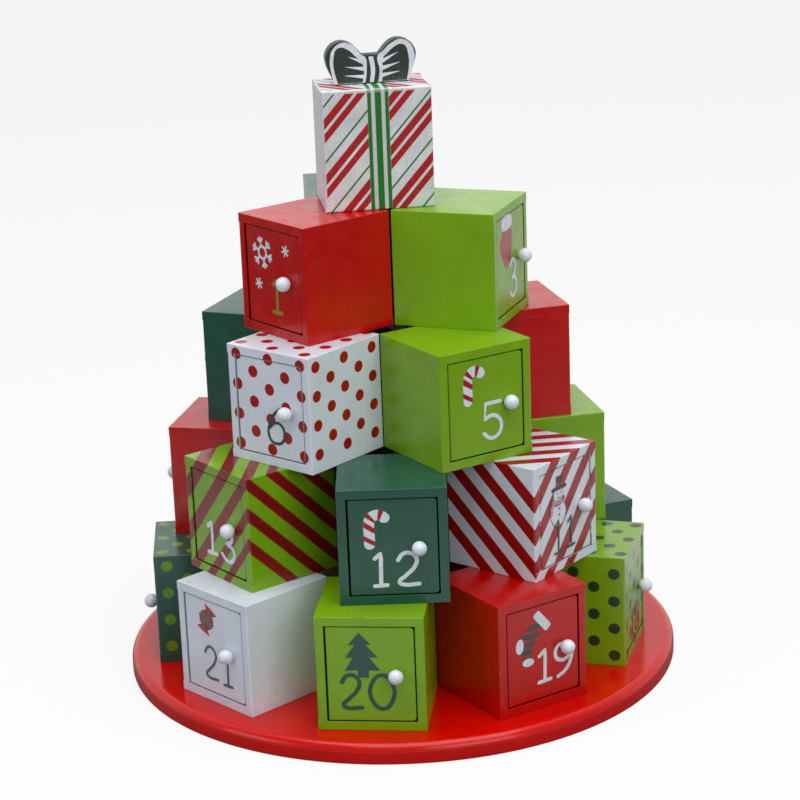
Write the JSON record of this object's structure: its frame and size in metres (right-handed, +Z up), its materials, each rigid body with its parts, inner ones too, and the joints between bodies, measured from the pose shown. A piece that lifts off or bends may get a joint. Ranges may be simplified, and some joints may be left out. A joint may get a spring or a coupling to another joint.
{
  "type": "wooden advent calendar",
  "caption": "Tower of small painted wooden boxes with numbered hinged doors and ball knobs, stacked in rings on a round base, with a gift box and a bow on top.",
  "frame": {"origin": "centre of the base's underside", "axes": "+Z up the tower; -Y towards the front, where the gift box and the door of box 12 face"},
  "size_m": [0.3131, 0.3132, 0.3564],
  "materials": {
    "red_paint": "semi-gloss red paint",
    "lime_paint": "semi-gloss lime green paint",
    "dark_green_paint": "semi-gloss dark green paint",
    "white_paint": "semi-gloss white paint",
    "white_with_red_dots": "semi-gloss white paint with printed red dots",
    "white_with_red_stripes": "semi-gloss white paint with printed red diagonal stripes",
    "lime_with_red_stripes": "semi-gloss lime paint with printed dark red diagonal stripes",
    "dark_green_with_lime_dots": "semi-gloss dark green paint with printed lime dots",
    "lime_with_green_dots": "semi-gloss lime paint with printed dark green dots",
    "base_red": "gloss red paint",
    "gift_white": "white paint printed with red and green stripes and a green ribbon",
    "bow_green": "dark green paint printed with white lines",
    "brad_steel": "plain steel wire"
  },
  "bodies": {
    "tower": {"box_01": "red_paint", "box_02": "dark_green_paint", "box_03": "lime_paint", "box_04": "red_paint", "box_05": "lime_paint", "box_06": "white_with_red_dots", "box_07": "dark_green_paint", "box_08": "white_with_red_stripes", "box_09": "white_with_red_dots", "box_10": "lime_paint", "box_11": "white_with_red_stripes", "box_12": "dark_green_paint", "box_13": "lime_with_red_stripes", "box_14": "red_paint", "box_15": "dark_green_with_lime_dots", "box_16": "red_paint", "box_17": "dark_green_paint", "box_18": "lime_with_green_dots", "box_19": "red_paint", "box_20": "lime_paint", "box_21": "white_paint", "box_22": "dark_green_with_lime_dots", "box_23": "lime_with_red_stripes", "box_24": "white_paint", "hinge_brads": "brad_steel", "base": "base_red", "gift_front": "gift_white", "gift_back": "gift_white", "gift_left": "gift_white", "gift_right": "gift_white", "gift_top": "gift_white", "gift_bottom": "gift_white", "bow": "bow_green"},
    "door_01": {"door_01": "red_paint"},
    "door_02": {"door_02": "dark_green_paint"},
    "door_03": {"door_03": "lime_paint"},
    "door_04": {"door_04": "red_paint"},
    "door_05": {"door_05": "lime_paint"},
    "door_06": {"door_06": "white_with_red_dots"},
    "door_07": {"door_07": "dark_green_paint"},
    "door_08": {"door_08": "white_with_red_stripes"},
    "door_09": {"door_09": "white_with_red_dots"},
    "door_10": {"door_10": "lime_paint"},
    "door_11": {"door_11": "white_with_red_stripes"},
    "door_12": {"door_12": "dark_green_paint"},
    "door_13": {"door_13": "lime_with_red_stripes"},
    "door_14": {"door_14": "red_paint"},
    "door_15": {"door_15": "dark_green_with_lime_dots"},
    "door_16": {"door_16": "red_paint"},
    "door_17": {"door_17": "dark_green_paint"},
    "door_18": {"door_18": "lime_with_green_dots"},
    "door_19": {"door_19": "red_paint"},
    "door_20": {"door_20": "lime_paint"},
    "door_21": {"door_21": "white_paint"},
    "door_22": {"door_22": "dark_green_with_lime_dots"},
    "door_23": {"door_23": "lime_with_red_stripes"},
    "door_24": {"door_24": "white_paint"}
  },
  "joints": [
    {"name": "door_01_hinge", "type": "hinge", "parent": "tower", "child": "door_01", "pos_m": [-0.07335, -0.02888, 0.2355], "axis": [0, 0, -1], "range_deg": [0, 100]},
    {"name": "door_02_hinge", "type": "hinge", "parent": "tower", "child": "door_02", "pos_m": [0.00291, 0.0746, 0.2355], "axis": [0, 0, -1], "range_deg": [0, 100]},
    {"name": "door_03_hinge", "type": "hinge", "parent": "tower", "child": "door_03", "pos_m": [0.05689, -0.04632, 0.2355], "axis": [0, 0, -1], "range_deg": [0, 100]},
    {"name": "door_04_hinge", "type": "hinge", "parent": "tower", "child": "door_04", "pos_m": [0.09561, 0.00192, 0.1715], "axis": [0, 0, -1], "range_deg": [0, 100]},
    {"name": "door_05_hinge", "type": "hinge", "parent": "tower", "child": "door_05", "pos_m": [0.02965, -0.09272, 0.1715], "axis": [0, 0, -1], "range_deg": [0, 100]},
    {"name": "door_06_hinge", "type": "hinge", "parent": "tower", "child": "door_06", "pos_m": [-0.08074, -0.05923, 0.1715], "axis": [0, 0, -1], "range_deg": [0, 100]},
    {"name": "door_07_hinge", "type": "hinge", "parent": "tower", "child": "door_07", "pos_m": [-0.08439, 0.05668, 0.1715], "axis": [0, 0, -1], "range_deg": [0, 100]},
    {"name": "door_08_hinge", "type": "hinge", "parent": "tower", "child": "door_08", "pos_m": [0.02599, 0.09391, 0.1715], "axis": [0, 0, -1], "range_deg": [0, 100]},
    {"name": "door_09_hinge", "type": "hinge", "parent": "tower", "child": "door_09", "pos_m": [0.06848, 0.09517, 0.1075], "axis": [0, 0, -1], "range_deg": [0, 100]},
    {"name": "door_10_hinge", "type": "hinge", "parent": "tower", "child": "door_10", "pos_m": [0.1147, 0.00353, 0.1075], "axis": [0, 0, -1], "range_deg": [0, 100]},
    {"name": "door_11_hinge", "type": "hinge", "parent": "tower", "child": "door_11", "pos_m": [0.07527, -0.09101, 0.1075], "axis": [0, 0, -1], "range_deg": [0, 100]},
    {"name": "door_12_hinge", "type": "hinge", "parent": "tower", "child": "door_12", "pos_m": [-0.02447, -0.11755, 0.1075], "axis": [0, 0, -1], "range_deg": [0, 100]},
    {"name": "door_13_hinge", "type": "hinge", "parent": "tower", "child": "door_13", "pos_m": [-0.10853, -0.05557, 0.1075], "axis": [0, 0, -1], "range_deg": [0, 100]},
    {"name": "door_14_hinge", "type": "hinge", "parent": "tower", "child": "door_14", "pos_m": [-0.11371, 0.04865, 0.1075], "axis": [0, 0, -1], "range_deg": [0, 100]},
    {"name": "door_15_hinge", "type": "hinge", "parent": "tower", "child": "door_15", "pos_m": [-0.03156, 0.11248, 0.1075], "axis": [0, 0, -1], "range_deg": [0, 100]},
    {"name": "door_16_hinge", "type": "hinge", "parent": "tower", "child": "door_16", "pos_m": [0.07918, 0.11158, 0.0435], "axis": [0, 0, -1], "range_deg": [0, 100]},
    {"name": "door_17_hinge", "type": "hinge", "parent": "tower", "child": "door_17", "pos_m": [0.1321, 0.03381, 0.0435], "axis": [0, 0, -1], "range_deg": [0, 100]},
    {"name": "door_18_hinge", "type": "hinge", "parent": "tower", "child": "door_18", "pos_m": [0.12265, -0.05978, 0.0435], "axis": [0, 0, -1], "range_deg": [0, 100]},
    {"name": "door_19_hinge", "type": "hinge", "parent": "tower", "child": "door_19", "pos_m": [0.05524, -0.1254, 0.0435], "axis": [0, 0, -1], "range_deg": [0, 100]},
    {"name": "door_20_hinge", "type": "hinge", "parent": "tower", "child": "door_20", "pos_m": [-0.03857, -0.13235, 0.0435], "axis": [0, 0, -1], "range_deg": [0, 100]},
    {"name": "door_21_hinge", "type": "hinge", "parent": "tower", "child": "door_21", "pos_m": [-0.1149, -0.07736, 0.0435], "axis": [0, 0, -1], "range_deg": [0, 100]},
    {"name": "door_22_hinge", "type": "hinge", "parent": "tower", "child": "door_22", "pos_m": [-0.13802, 0.01382, 0.0435], "axis": [0, 0, -1], "range_deg": [0, 100]},
    {"name": "door_23_hinge", "type": "hinge", "parent": "tower", "child": "door_23", "pos_m": [-0.09713, 0.09854, 0.0435], "axis": [0, 0, -1], "range_deg": [0, 100]},
    {"name": "door_24_hinge", "type": "hinge", "parent": "tower", "child": "door_24", "pos_m": [-0.01135, 0.13715, 0.0435], "axis": [0, 0, -1], "range_deg": [0, 100]}
  ]
}
